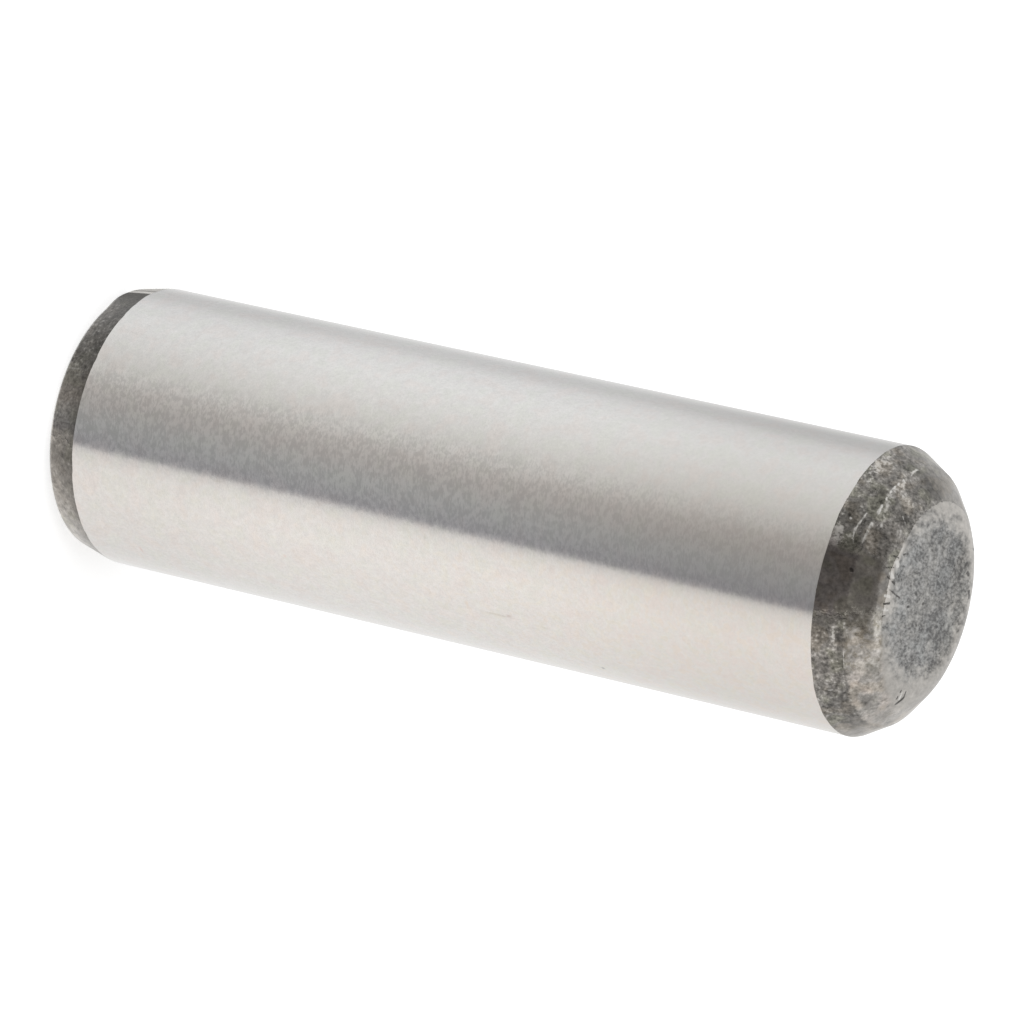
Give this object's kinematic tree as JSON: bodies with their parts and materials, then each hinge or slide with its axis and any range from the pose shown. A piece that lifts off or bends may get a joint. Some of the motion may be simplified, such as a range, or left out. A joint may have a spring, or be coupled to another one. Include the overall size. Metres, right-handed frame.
{
  "type": "dowel pin",
  "caption": "Hardened and ground steel dowel pin: straight cylinder with a tapered lead-in end and a bevelled, flat-topped domed end.",
  "frame": {"origin": "centre of the lower, lead-in end face, on which the pin stands", "axes": "+Z along the pin's axis, from the lead-in end towards the domed end; X and Y are alike on this round part, and the picture looks along +Y from above"},
  "size_m": [0.01, 0.01, 0.0325],
  "materials": {
    "pin_steel": "satin centreless-ground body with fine marks around it; both ends keep dark, speckled heat scale, and the flat top is blue-grey and granular"
  },
  "bodies": {
    "root": {"dowel_pin": "pin_steel"}
  },
  "joints": []
}
